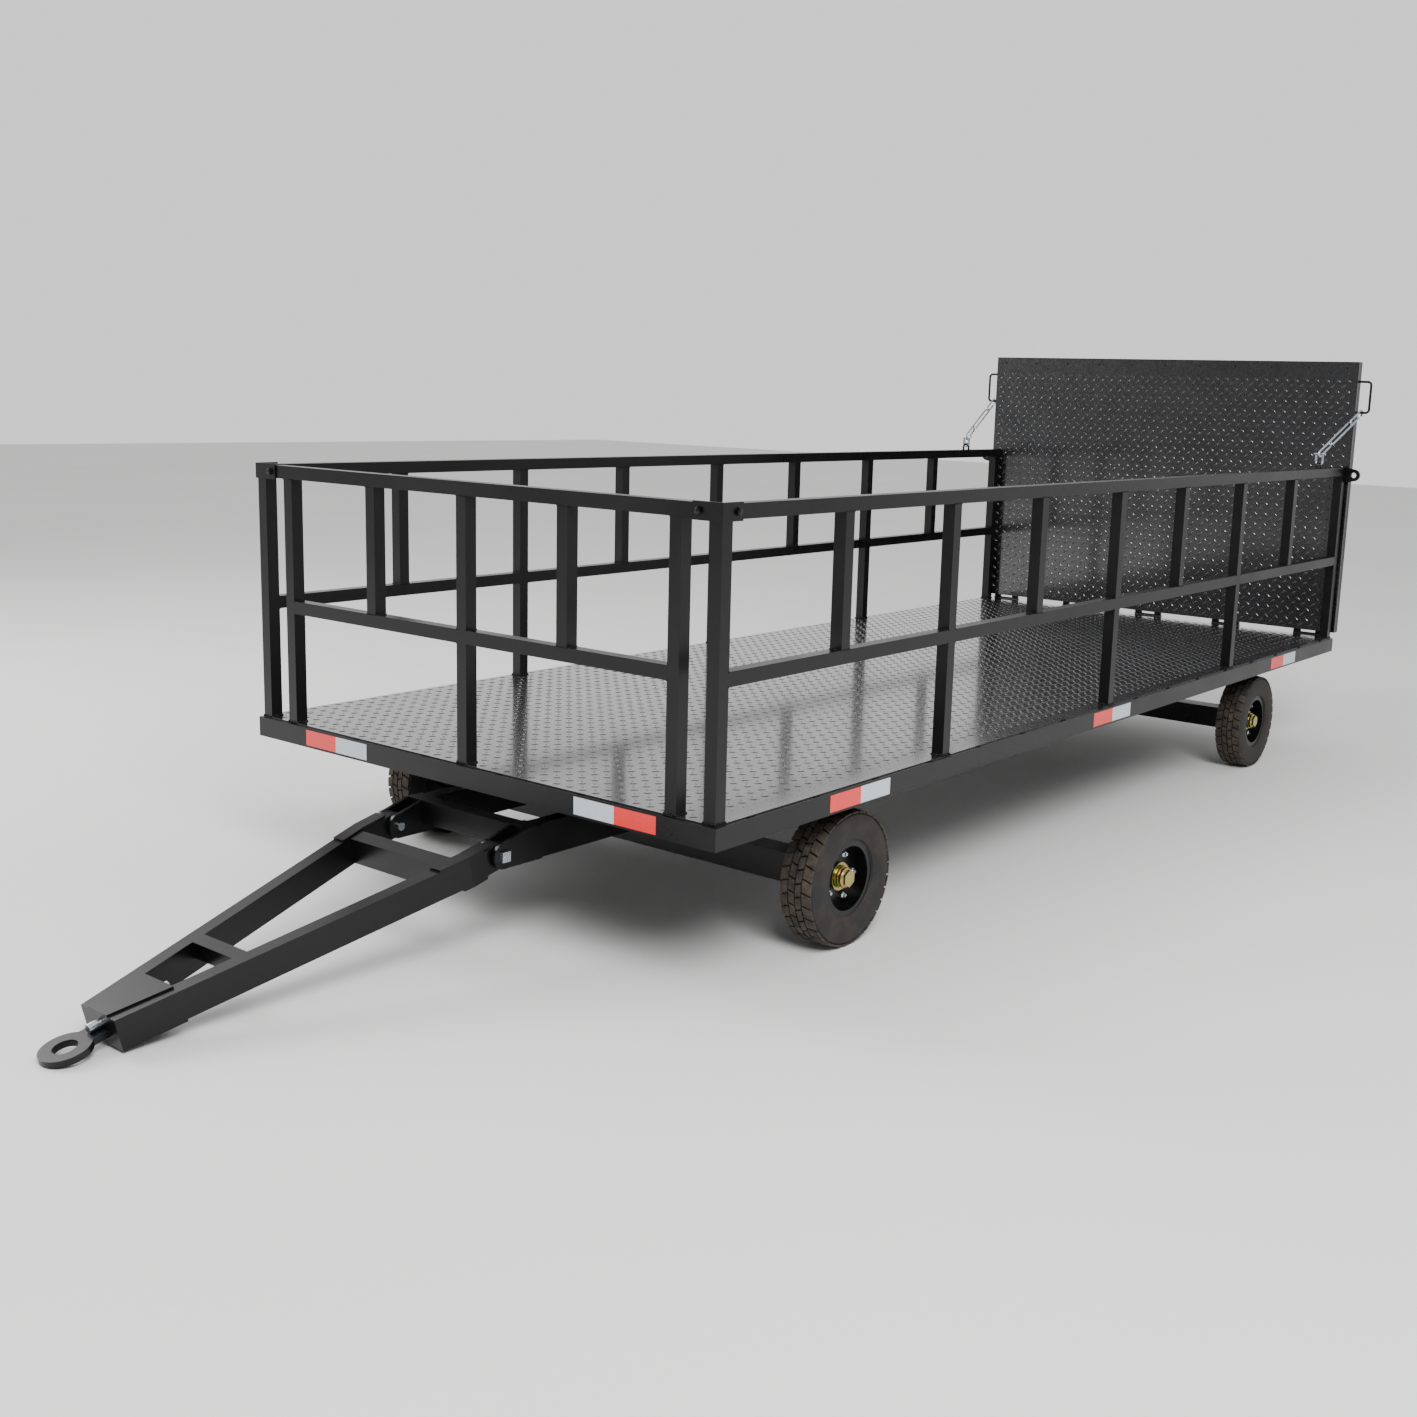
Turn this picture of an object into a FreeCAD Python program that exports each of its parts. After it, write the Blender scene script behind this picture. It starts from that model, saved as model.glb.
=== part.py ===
import FreeCAD, Part
import math
import os

os.makedirs("parts", exist_ok=True)

V = FreeCAD.Vector
X = V(1, 0, 0)
Y = V(0, 1, 0)
Z = V(0, 0, 1)

# All sizes are millimetres. +Z is up, +Y runs from the drawbar to the ramp, +X is the trailer's left.
# The ground is z = 0 and the middle of the whole trailer is x = 0, y = 0.

# ---- deck ----
deck_length = 4680.0
deck_width = 1940.0
frame_top = 505.0            # height of the frame's top face above the ground
frame_depth = 63.0
frame_wall = 40.0            # width of a perimeter member
plate_thick = 4.0
plate_inset = 10.0           # the deck plate stops short of the frame's outer faces
main_rail_x = 300.0          # centre line of each main rail
main_rail_width = 50.0
cross_width = 40.0
cross_depth = 50.0
cross_bays = 8

# ---- side and front panels ----
tube = 40.0                  # square tube of posts and rails
post_inset = 12.0            # posts stand this far inside the frame's outer faces
top_rail_top = 1325.0
mid_rail_top = 902.0
first_bay = 1097.0
middle_bay = 1147.0
middle_bays = 2
baluster_shift = -18.0       # the short uprights stand a little forward of mid bay
front_end_post_x = 805.0
front_baluster_x = 403.0
front_rail_half = 870.0
bracket_thick = 5.0
bracket_height = 48.0
bracket_front_leg = 100.0
bracket_side_leg = 80.0
bracket_rise = 4.0           # the bracket stands this far above the rails

# ---- lugs at the rear ends of the top rails ----
lug_thick = 12.0
lug_hole_r = 12.5
lug_tip_r = 28.0
lug_reach = 39.0             # hole centre, outward from the top rail's outer face
lug_drop = 35.0              # hole centre, below the top rail's top
lug_foot = 38.0              # the lug reaches this far below its hole
lug_crown = 36.0             # and this far above it

# ---- ramp ----
ramp_top = 1818.0
ramp_tube = 40.0
ramp_plate_thick = 3.0
ramp_gap = 8.0               # between the frame's rear face and the ramp's plate
ramp_foot_gap = 25.0         # between the frame's top and the ramp's lowest tube
ramp_uprights = 7
hinge_pin_back = 20.0        # hinge axis, rearward of the frame's rear face
hinge_pin_r = 8.0
hinge_barrel_r = 13.0
hinge_clear = 0.05
hinge_gap = 1.0              # between one barrel's end and the next
hinge_count = 5
hinge_edge = 130.0           # outermost hinge centres, in from the ramp's sides
hinge_barrel = 70.0          # length of a frame barrel
hinge_leaf_thick = 6.0
ramp_open_deg = 113.0
handle_bar_r = 5.5
handle_reach = 56.0
handle_low = 1583.0
handle_high = 1727.0
handle_bend = 16.0

# ---- chains ----
eye_y = 4345.0               # chain eye, rearward of the deck's front face
eye_bar_r = 5.0
eye_height = 30.0            # bar centre above the rail
eye_width = 52.0             # across the leg centres
shackle_bar_r = 5.0
shackle_half = 15.0
shackle_rise = 36.0          # pin centre above the eye's bar
shackle_pin_over = 12.0
chain_bar_r = 4.5
chain_half = 13.0            # link's half width, to the bar's centre
chain_seat = 0.3             # daylight between pieces that bear on each other
hook_x_out = 22.0            # the hook hangs this far outside the ramp's side
hook_gap = 26.0

# ---- wheels and axles ----
wheel_r = 205.0
wheel_width = 112.0
wheel_x = 870.0
front_axle_y = 685.0
rear_axle_y = 3868.0
rim_seat_r = 101.6
rim_flange_r = 116.0
rim_wall = 5.0
rim_width = 92.0
disc_thick = 8.0
disc_back = 52.0             # disc's outer face, inward from the tyre's outer face
hub_r = 42.0
hub_length = 86.0
hub_cap_r = 31.0
hub_cap_out = 14.0           # hub cap's end, inward from the tyre's outer face
spindle_r = 17.5
spindle_clear = 0.05
spindle_end_gap = 6.0
beam_size = 90.0
beam_half = 768.0
beam_flange_r = 40.0
wheel_gap = 6.0              # between the beam's flange and the hub
tyre_shoulder = 16.0
tyre_crown = 3.0

# ---- turntable and dolly ----
arm_x = 225.0                # centre line of each fork arm
arm_width = 50.0
arm_height = 100.0
arm_pad = 12.0               # pad between the axle beam and the arms
arm_front = 22.0             # front ends of the arms, rearward of the deck's front face
arm_rear = 955.0
fork_tube = 50.0
fork_tube_depth = 70.0
ring_r = 250.0
ring_wall = 44.0
ring_lip = 10.0
ring_lip_height = 12.0
ring_height = 26.0
ring_plate = 10.0
ring_plate_margin = 24.0
steer_deg = 90.0

# ---- drawbar ----
pin_ahead = 65.0             # drawbar pins, forward of the deck's front face
pin_height = 300.0
pin_r = 12.0
pin_clear = 0.08
ear_thick = 12.0
ear_r = 37.0
ear_side_gap = 3.0           # between an ear and the drawbar
ear_lap = 60.0               # the ears lap this far along the arms
bar_height = 80.0
bar_width = 44.0
bar_bend = 110.0             # from the pins to the bend, along the drawbar
nose_at = 1085.0             # from the pins to the nose's front face
nose_half = 75.0             # half width over the members at the nose
nose_length = 160.0
nose_plate_thick = 6.0
nose_inner_half = 14.0
sleeve_back = 30.0
sleeve_front = 200.0
sleeve_low_back = 58.0
sleeve_low_front = 140.0
cross_rear_at = 125.0
cross_rear_width = 50.0
cross_front_at = 745.0
cross_front_width = 40.0
cross_front_depth = 50.0
eye_at = 1180.0              # from the pins to the tow eye's centre
eye_outer_r = 62.5
eye_hole_r = 30.0
eye_thick = 18.0
eye_drop = 8.0               # eye plate's middle, below the drawbar's middle
eye_neck = 64.0
eye_bolt_r = 12.0
eye_bolt_front = 1118.0
eye_bolt_back = 900.0
eye_block = 24.0
drawbar_lift_deg = 25.0

# ---- rear axle ----
stand_width = 90.0
stand_length = 110.0

# ---- values worked out from those above ----
half_width = deck_width / 2
frame_bottom = frame_top - frame_depth
plate_top = frame_top + plate_thick
rail_outer = half_width - post_inset
rail_inner = rail_outer - tube
rail_mid_x = rail_outer - tube / 2
beam_top = wheel_r + beam_size / 2
arm_bottom = beam_top + arm_pad
arm_top = arm_bottom + arm_height
lower_plate_top = arm_top + ring_plate
ring_meet = lower_plate_top + ring_height
upper_plate_top = frame_bottom

# The drawbar lies tilted so that the tow eye's lowest edge is on the ground.
eye_tip = eye_at + eye_outer_r
eye_low = eye_drop + eye_thick / 2
tilt = math.asin(pin_height / math.hypot(eye_tip, eye_low)) - math.atan2(eye_low, eye_tip)
tip_ahead = eye_tip * math.cos(tilt) + (eye_thick / 2 - eye_drop) * math.sin(tilt) + pin_ahead

ramp_face = deck_length + ramp_gap
ramp_back = ramp_face + ramp_plate_thick + ramp_tube
deck_front = (tip_ahead - ramp_back) / 2
deck_rear = deck_front + deck_length
hinge_y = deck_rear + hinge_pin_back
hinge_z = frame_top
pin_y = deck_front - pin_ahead


def box(x0, x1, y0, y1, z0, z1):
    return Part.makeBox(x1 - x0, y1 - y0, z1 - z0, V(x0, y0, z0))


def bar(radius, start, end):
    return Part.makeCylinder(radius, (end - start).Length, start, end - start)


def joined(shapes):
    whole = shapes[0]
    for shape in shapes[1:]:
        whole = whole.fuse(shape)
    return whole.removeSplitter()


def mirrored(shape):
    return shape.mirror(V(0, 0, 0), X)


def both_sides(shapes):
    return shapes + [mirrored(shape) for shape in shapes]


def prism(points, direction):
    face = Part.Face(Part.makePolygon(points + [points[0]]))
    return face.extrude(direction)


def turned(profile, centre, axis):
    face = Part.Face(Part.makePolygon(profile + [profile[0]]))
    return face.revolve(centre, axis, 360)


def save(name, solids):
    shape = solids[0] if len(solids) == 1 else Part.makeCompound(solids)
    shape.exportStep("parts/" + name + ".step")
    print(name, len(shape.Solids), round(shape.Volume / 1e6, 3))


def spread(first, last, count):
    step = (last - first) / (count - 1)
    return [first + step * index for index in range(count)]


# ------------------------------------------------------------------ deck

def side_frames():
    left = box(half_width - frame_wall, half_width, deck_front, deck_rear, frame_bottom, frame_top)
    return both_sides([left])


def end_frames():
    reach = half_width - frame_wall
    front = box(-reach, reach, deck_front, deck_front + frame_wall, frame_bottom, frame_top)
    rear = box(-reach, reach, deck_rear - frame_wall, deck_rear, frame_bottom, frame_top)
    return [front, rear]


def main_rails():
    inner = main_rail_x - main_rail_width / 2
    outer = main_rail_x + main_rail_width / 2
    rail = box(inner, outer, deck_front + frame_wall, deck_rear - frame_wall, frame_bottom, frame_top)
    return both_sides([rail])


def cross_members():
    inner = main_rail_x - main_rail_width / 2
    outer = main_rail_x + main_rail_width / 2
    reach = half_width - frame_wall
    low = frame_top - cross_depth
    pieces = []
    for index in range(1, cross_bays):
        middle = deck_front + deck_length * index / cross_bays
        near = middle - cross_width / 2
        far = middle + cross_width / 2
        pieces.append(box(-inner, inner, near, far, low, frame_top))
        pieces += both_sides([box(outer, reach, near, far, low, frame_top)])
    return pieces


def deck_plate():
    reach = half_width - plate_inset
    return [box(-reach, reach, deck_front + plate_inset, deck_rear - plate_inset, frame_top, plate_top)]


# ------------------------------------------------------------------ panels

def side_post_centres():
    centres = [deck_front + post_inset + tube / 2]
    centres.append(centres[0] + first_bay)
    for _ in range(middle_bays):
        centres.append(centres[-1] + middle_bay)
    centres.append(deck_rear - post_inset - tube / 2)
    return centres


def upright(x, y, low, high):
    half = tube / 2
    return box(x - half, x + half, y - half, y + half, low, high)


def side_posts():
    posts = [upright(rail_mid_x, y, plate_top, top_rail_top - tube) for y in side_post_centres()]
    return both_sides(posts)


def side_balusters():
    centres = side_post_centres()
    shorts = []
    for before, after in zip(centres, centres[1:]):
        middle = (before + after) / 2 + baluster_shift
        shorts.append(upright(rail_mid_x, middle, mid_rail_top, top_rail_top - tube))
    return both_sides(shorts)


def side_top_rails():
    front = deck_front + post_inset
    rear = deck_rear - post_inset
    return both_sides([box(rail_inner, rail_outer, front, rear, top_rail_top - tube, top_rail_top)])


def side_mid_rails():
    centres = side_post_centres()
    rails = []
    for before, after in zip(centres, centres[1:]):
        front = before + tube / 2
        rear = after - tube / 2
        rails.append(box(rail_inner, rail_outer, front, rear, mid_rail_top - tube, mid_rail_top))
    return both_sides(rails)


def front_posts():
    y = deck_front + post_inset + tube / 2
    low = plate_top
    high = top_rail_top - tube
    return [upright(x, y, low, high) for x in (-front_end_post_x, 0, front_end_post_x)]


def front_top_rail():
    y = deck_front + post_inset
    return [box(-front_rail_half, front_rail_half, y, y + tube, top_rail_top - tube, top_rail_top)]


def front_mid_rails():
    y = deck_front + post_inset
    inner = tube / 2
    outer = front_end_post_x - tube / 2
    return both_sides([box(inner, outer, y, y + tube, mid_rail_top - tube, mid_rail_top)])


def front_balusters():
    y = deck_front + post_inset + tube / 2
    return both_sides([upright(front_baluster_x, y, mid_rail_top, top_rail_top - tube)])


def corner_brackets():
    front = deck_front + post_inset
    top = top_rail_top + bracket_rise
    low = top - bracket_height
    outer = rail_outer + bracket_thick
    across = box(outer - bracket_front_leg, outer, front - bracket_thick, front, low, top)
    along = box(rail_outer, outer, front - bracket_thick, front - bracket_thick + bracket_side_leg, low, top)
    return both_sides([joined([across, along])])


def lug_hole_centre():
    return V(rail_outer + lug_reach, deck_rear - post_inset, top_rail_top - lug_drop)


def rail_end_lugs():
    hole = lug_hole_centre()
    top = hole.z + lug_crown
    low = hole.z - lug_foot
    y = hole.y
    points = [
        V(rail_inner, y, top),
        V(rail_outer, y, top),
        V(hole.x, y, hole.z + lug_tip_r),
        V(hole.x, y, hole.z - lug_tip_r),
        V(rail_outer, y, low),
        V(rail_inner, y, low),
    ]
    plate = prism(points, Y * lug_thick)
    tip = Part.makeCylinder(lug_tip_r, lug_thick, hole, Y)
    bore = Part.makeCylinder(lug_hole_r, lug_thick + 2, hole - Y, Y)
    return both_sides([joined([plate, tip]).cut(bore)])


# ------------------------------------------------------------------ chains

def eye_centre():
    return V(rail_mid_x, deck_front + eye_y, top_rail_top + eye_height)


def pipe(path, radius, start, direction):
    ring = Part.Wire([Part.Circle(start, direction, radius).toShape()])
    return Part.Wire(path).makePipeShell([ring], True, False)


def chain_eyes():
    centre = eye_centre()
    half = eye_width / 2
    bend = half - 8
    foot = top_rail_top
    corner = centre.z - bend
    slant = bend * math.sqrt(0.5)
    path = []
    front = V(centre.x, centre.y - half, foot)
    front_up = V(centre.x, centre.y - half, corner)
    front_over = V(centre.x, centre.y - half + bend, centre.z)
    rear_over = V(centre.x, centre.y + half - bend, centre.z)
    rear_up = V(centre.x, centre.y + half, corner)
    rear = V(centre.x, centre.y + half, foot)
    front_mid = V(centre.x, centre.y - half + bend - slant, corner + slant)
    rear_mid = V(centre.x, centre.y + half - bend + slant, corner + slant)
    path.append(Part.makeLine(front, front_up))
    path.append(Part.Arc(front_up, front_mid, front_over).toShape())
    path.append(Part.makeLine(front_over, rear_over))
    path.append(Part.Arc(rear_over, rear_mid, rear_up).toShape())
    path.append(Part.makeLine(rear_up, rear))
    return both_sides([pipe(path, eye_bar_r, front, Z)])


def shackle_pin():
    return eye_centre() + Z * shackle_rise


def chain_shackles():
    centre = eye_centre()
    pin = shackle_pin()
    turn = centre.z - eye_bar_r - shackle_bar_r - chain_seat + shackle_half
    left = V(pin.x + shackle_half, pin.y, pin.z)
    left_low = V(pin.x + shackle_half, pin.y, turn)
    bottom = V(pin.x, pin.y, turn - shackle_half)
    right_low = V(pin.x - shackle_half, pin.y, turn)
    right = V(pin.x - shackle_half, pin.y, pin.z)
    path = [Part.makeLine(left, left_low)]
    path.append(Part.Arc(left_low, bottom, right_low).toShape())
    path.append(Part.makeLine(right_low, right))
    bow = pipe(path, shackle_bar_r, left, Z)
    reach = X * (shackle_half + shackle_pin_over)
    rod = bar(shackle_bar_r, pin - reach, pin + reach)
    return both_sides([joined([bow, rod])])


def hook_point():
    return V(half_width + hook_x_out, deck_front + handle_depth(), handle_low)


def handle_depth():
    return ramp_face + ramp_plate_thick + ramp_tube / 2


def link(first, last, along, across):
    """A long link whose bar runs round both ends, from first to last along the chain."""
    origin = shackle_pin()
    near = origin + along * (first + chain_half)
    far = origin + along * (last - chain_half)
    side = across * chain_half
    tip = along * chain_half
    path = [Part.makeLine(near + side, far + side)]
    path.append(Part.Arc(far + side, far + tip, far - side).toShape())
    path.append(Part.makeLine(far - side, near - side))
    path.append(Part.Arc(near - side, near - tip, near + side).toShape())
    return pipe(path, chain_bar_r, near + side, along)


def chain():
    span = hook_point() - shackle_pin()
    along = V(span).normalize()
    across = (X - along * X.dot(along)).normalize()
    upward = across.cross(along)
    pitch = span.Length / 4
    step = 2 * chain_bar_r + chain_seat
    start = -(shackle_bar_r + chain_bar_r + chain_seat)
    first_end = pitch + step / 2
    second_end = 3 * pitch + step / 2
    last_end = span.Length + handle_bar_r + chain_bar_r + chain_seat
    lower = link(start, first_end, along, upward)
    middle = link(first_end - step, second_end, along, across)
    upper = link(second_end - step, last_end, along, upward)
    lowest = -upward if upward.z > 0 else upward
    mouth = shackle_pin() + along * (last_end - chain_half - hook_gap / 2) + lowest * chain_half
    gap = Part.makeSphere(hook_gap / 2, mouth)
    return [lower, middle, upper.cut(gap)]


# ------------------------------------------------------------------ ramp

ramp_bottom = frame_top + ramp_foot_gap
tube_front = deck_front + ramp_face + ramp_plate_thick
tube_back = tube_front + ramp_tube


def ramp_rails():
    low = box(-half_width, half_width, tube_front, tube_back, ramp_bottom, ramp_bottom + ramp_tube)
    high = box(-half_width, half_width, tube_front, tube_back, ramp_top - ramp_tube, ramp_top)
    return [low, high]


def ramp_upright_bars():
    half = ramp_tube / 2
    low = ramp_bottom + ramp_tube
    high = ramp_top - ramp_tube
    centres = spread(-half_width + half, half_width - half, ramp_uprights)
    return [box(x - half, x + half, tube_front, tube_back, low, high) for x in centres]


def ramp_plate():
    front = deck_front + ramp_face
    return [box(-half_width, half_width, front, tube_front, ramp_bottom, ramp_top)]


def ramp_handles():
    y = deck_front + handle_depth()
    out = half_width + handle_reach
    bend = handle_bend
    slant = bend * math.sqrt(0.5)
    low_start = V(half_width, y, handle_low)
    low_end = V(out - bend, y, handle_low)
    low_mid = V(out - bend + slant, y, handle_low + bend - slant)
    rise = V(out, y, handle_low + bend)
    rise_end = V(out, y, handle_high - bend)
    high_mid = V(out - bend + slant, y, handle_high - bend + slant)
    high_end = V(out - bend, y, handle_high)
    high_start = V(half_width, y, handle_high)
    path = [Part.makeLine(low_start, low_end)]
    path.append(Part.Arc(low_end, low_mid, rise).toShape())
    path.append(Part.makeLine(rise, rise_end))
    path.append(Part.Arc(rise_end, high_mid, high_end).toShape())
    path.append(Part.makeLine(high_end, high_start))
    return both_sides([pipe(path, handle_bar_r, low_start, X)])


def hinge_centres():
    return spread(-half_width + hinge_edge, half_width - hinge_edge, hinge_count)


def frame_hinges():
    """A barrel on the frame's rear face, with its leaf and the pin that the ramp turns on."""
    pieces = []
    for x in hinge_centres():
        half = hinge_barrel / 2
        centre = V(x - half, hinge_y, hinge_z)
        barrel = Part.makeCylinder(hinge_barrel_r, hinge_barrel, centre, X)
        low = hinge_z - hinge_barrel_r
        leaf = box(x - half, x + half, deck_rear, hinge_y, low, low + hinge_leaf_thick * 2)
        reach = half + hinge_gap + half
        pin = Part.makeCylinder(hinge_pin_r, reach * 2, V(x - reach, hinge_y, hinge_z), X)
        pieces.append(joined([barrel, leaf, pin]))
    return pieces


def ramp_hinges():
    """Two barrels under the ramp at each hinge, one each side of the frame's barrel."""
    pieces = []
    for x in hinge_centres():
        start = hinge_barrel / 2 + hinge_gap
        length = hinge_barrel / 2
        for side in (-1, 1):
            near = x + side * start
            far = x + side * (start + length)
            left = min(near, far)
            barrel = Part.makeCylinder(hinge_barrel_r, length, V(left, hinge_y, hinge_z), X)
            strap = box(left, left + length, hinge_y - hinge_leaf_thick, hinge_y + hinge_leaf_thick,
                        hinge_z, ramp_bottom)
            hole = Part.makeCylinder(hinge_pin_r + hinge_clear, length + 2, V(left - 1, hinge_y, hinge_z), X)
            pieces.append(joined([barrel, strap]).cut(hole))
    return pieces


# ------------------------------------------------------------------ wheels

def wheel_profile(points, side, y):
    """Points are (distance out from the tyre's middle, radius); the wheel faces outward on its side."""
    middle = side * wheel_x
    return [V(middle + side * out, y, wheel_r + radius) for out, radius in points]


def tyre(side, y):
    half = wheel_width / 2
    seat = rim_width / 2 - rim_wall
    flank = half - 4
    points = [
        (-seat, rim_seat_r),
        (-seat, rim_flange_r),
        (-flank, rim_flange_r + 8),
        (-half, (rim_flange_r + wheel_r) / 2),
        (-half, wheel_r - tyre_shoulder - 4),
        (-half + tyre_shoulder, wheel_r - tyre_crown),
        (0, wheel_r),
        (half - tyre_shoulder, wheel_r - tyre_crown),
        (half, wheel_r - tyre_shoulder - 4),
        (half, (rim_flange_r + wheel_r) / 2),
        (flank, rim_flange_r + 8),
        (seat, rim_flange_r),
        (seat, rim_seat_r),
    ]
    return [turned(wheel_profile(points, side, y), V(0, y, wheel_r), X)]


def rim(side, y):
    half = rim_width / 2
    disc_out = wheel_width / 2 - disc_back
    disc_in = disc_out - disc_thick
    barrel = rim_seat_r - rim_wall
    points = [
        (-half, barrel),
        (-half, rim_flange_r),
        (-half + rim_wall, rim_flange_r),
        (-half + rim_wall, rim_seat_r),
        (half - rim_wall, rim_seat_r),
        (half - rim_wall, rim_flange_r),
        (half, rim_flange_r),
        (half, barrel),
        (disc_out, barrel),
        (disc_out, hub_r),
        (disc_in, hub_r),
        (disc_in, barrel),
    ]
    return [turned(wheel_profile(points, side, y), V(0, y, wheel_r), X)]


def hub(side, y):
    cap_end = wheel_width / 2 - hub_cap_out
    disc_out = wheel_width / 2 - disc_back
    shoulder = disc_out + 12
    inner = shoulder - hub_length
    bore = spindle_r + spindle_clear
    blind = cap_end - 8
    points = [
        (inner, bore),
        (inner, hub_r),
        (shoulder, hub_r),
        (shoulder, hub_cap_r),
        (cap_end - 4, hub_cap_r),
        (cap_end, hub_cap_r - 4),
        (cap_end, 0),
        (blind, 0),
        (blind, bore),
    ]
    return [turned(wheel_profile(points, side, y), V(0, y, wheel_r), X)]


def hub_inner_x():
    return wheel_x + wheel_width / 2 - disc_back + 12 - hub_length


def axle_beam(y):
    half = beam_size / 2
    return [box(-beam_half, beam_half, y - half, y + half, wheel_r - half, wheel_r + half)]


def spindles(y):
    flange_end = hub_inner_x() - wheel_gap
    tip = wheel_x + wheel_width / 2 - hub_cap_out - 8 - spindle_end_gap
    flange = bar(beam_flange_r, V(beam_half, y, wheel_r), V(flange_end, y, wheel_r))
    stub = bar(spindle_r, V(beam_half, y, wheel_r), V(tip, y, wheel_r))
    return both_sides([joined([flange, stub])])


def rear_axle_stands():
    y = deck_front + rear_axle_y
    inner = main_rail_x - stand_width / 2
    outer = main_rail_x + stand_width / 2
    half = stand_length / 2
    return both_sides([box(inner, outer, y - half, y + half, beam_top, frame_bottom)])


# ------------------------------------------------------------------ turntable and dolly

steer_y = deck_front + front_axle_y


def ring(inner, outer, low, high):
    solid = Part.makeCylinder(outer, high - low, V(0, steer_y, low))
    return solid.cut(Part.makeCylinder(inner, high - low + 2, V(0, steer_y, low - 1)))


def square_plate(low, high):
    reach = ring_r + ring_plate_margin
    plate = box(-reach, reach, steer_y - reach, steer_y + reach, low, high)
    return plate.cut(Part.makeCylinder(ring_r - ring_wall, high - low + 2, V(0, steer_y, low - 1)))


def turntable_lower():
    return [square_plate(arm_top, lower_plate_top)]


def turntable_lower_ring():
    base = ring(ring_r - ring_wall, ring_r, lower_plate_top, ring_meet)
    lip_outer = ring_r - ring_wall + ring_lip
    lip = ring(ring_r - ring_wall, lip_outer, ring_meet - 1, ring_meet + ring_lip_height)
    return [joined([base, lip])]


def turntable_upper_ring():
    inner = ring_r - ring_wall + ring_lip + spindle_clear
    return [ring(inner, ring_r, ring_meet, upper_plate_top - ring_plate)]


def turntable_upper():
    reach = main_rail_x + main_rail_width / 2
    plate = box(-reach, reach, steer_y - ring_r, steer_y + ring_r, upper_plate_top - ring_plate, upper_plate_top)
    return [plate]


def fork_arms():
    inner = arm_x - arm_width / 2
    outer = arm_x + arm_width / 2
    return both_sides([box(inner, outer, deck_front + arm_front, deck_front + arm_rear, arm_bottom, arm_top)])


def fork_cross_tubes():
    reach = arm_x - arm_width / 2
    low = arm_top - fork_tube_depth
    front = deck_front + arm_front
    rear = deck_front + arm_rear
    between_ears = reach - ear_thick
    pieces = []
    for near, half in ((front, between_ears), (rear - fork_tube, reach)):
        pieces.append(box(-half, half, near, near + fork_tube, low, arm_top))
    return pieces


def arm_pads():
    half = beam_size / 2
    inner = arm_x - arm_width
    outer = arm_x + arm_width
    return both_sides([box(inner, outer, steer_y - half, steer_y + half, beam_top, arm_bottom)])


def ear(low_x, high_x):
    """One ear: round about the pin, then rising to the arm's full height."""
    back = deck_front + arm_front + ear_lap
    thick = high_x - low_x
    centre = V(low_x, pin_y, pin_height)
    points = [
        V(low_x, pin_y, pin_height - ear_r),
        V(low_x, back, pin_height - ear_r),
        V(low_x, back, arm_top),
        V(low_x, deck_front + arm_front, arm_top),
        V(low_x, pin_y, pin_height + ear_r),
    ]
    web = prism(points, X * thick)
    eye = Part.makeCylinder(ear_r, thick, centre, X)
    return joined([web, eye])


def drawbar_ears():
    inner = arm_x - arm_width / 2
    outer = arm_x + arm_width / 2
    pair = [ear(outer, outer + ear_thick), ear(inner - ear_thick, inner)]
    holes = Part.makeCylinder(pin_r, 2 * outer, V(0, pin_y, pin_height), X)
    return both_sides([plate.cut(holes) for plate in pair])


def drawbar_pins():
    outer = arm_x + arm_width / 2 + ear_thick
    inner = arm_x - arm_width / 2 - ear_thick
    rod = bar(pin_r, V(inner - 10, pin_y, pin_height), V(outer + 1, pin_y, pin_height))
    head = box(outer, outer + 11, pin_y - 15, pin_y + 15, pin_height - 15, pin_height + 15)
    return both_sides([joined([rod, head])])


# ------------------------------------------------------------------ drawbar
# It is drawn level, with its pins on the X axis and its nose towards -Y, then tilted about the pins.

bar_outer = arm_x + arm_width / 2 - ear_side_gap
bar_inner = arm_x - arm_width / 2 + ear_side_gap


def lowered(shape):
    placed = shape.copy()
    placed.rotate(V(0, 0, 0), X, math.degrees(tilt))
    placed.translate(V(0, pin_y, pin_height))
    return placed


def outer_at(s):
    """Half width over the outer faces at a distance s forward of the pins."""
    if s <= bar_bend:
        return bar_outer
    return bar_outer + (nose_half - bar_outer) * (s - bar_bend) / (nose_at - bar_bend)


def drawbar_members():
    half = bar_height / 2
    slope = (bar_outer - nose_half) / (nose_at - bar_bend)
    width = (bar_outer - bar_inner) * math.hypot(1, slope)
    points = [
        V(bar_outer, 0, -half),
        V(bar_outer, -bar_bend, -half),
        V(nose_half, -nose_at, -half),
        V(nose_half - width, -nose_at, -half),
        V(bar_outer - width, -bar_bend, -half),
        V(bar_inner, 0, -half),
    ]
    member = prism(points, Z * bar_height)
    heel = Part.makeCylinder(ear_r, bar_outer - bar_inner, V(bar_inner, 0, 0), X)
    web = box(bar_inner, bar_outer, -bar_bend / 2, 0, -ear_r, ear_r)
    trim = box(bar_inner - 1, bar_outer + 1, -bar_bend / 2, 1, -half - 1, half + 1)
    hole = Part.makeCylinder(pin_r + pin_clear, 2 * bar_outer, V(0, 0, 0), X)
    whole = joined([member.cut(trim), web, heel]).cut(hole)
    return [lowered(shape) for shape in both_sides([whole])]


def strip(back, front, low, high):
    slope = (bar_outer - nose_half) / (nose_at - bar_bend)
    width = (bar_outer - bar_inner) * math.hypot(1, slope)
    points = [V(bar_outer, -back, low)]
    if front > bar_bend > back:
        points.append(V(bar_outer, -bar_bend, low))
    points.append(V(outer_at(front), -front, low))
    points.append(V(outer_at(front) - width, -front, low))
    if front > bar_bend > back:
        points.append(V(bar_outer - width, -bar_bend, low))
    points.append(V(bar_inner, -back, low))
    return prism(points, Z * (high - low))


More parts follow.
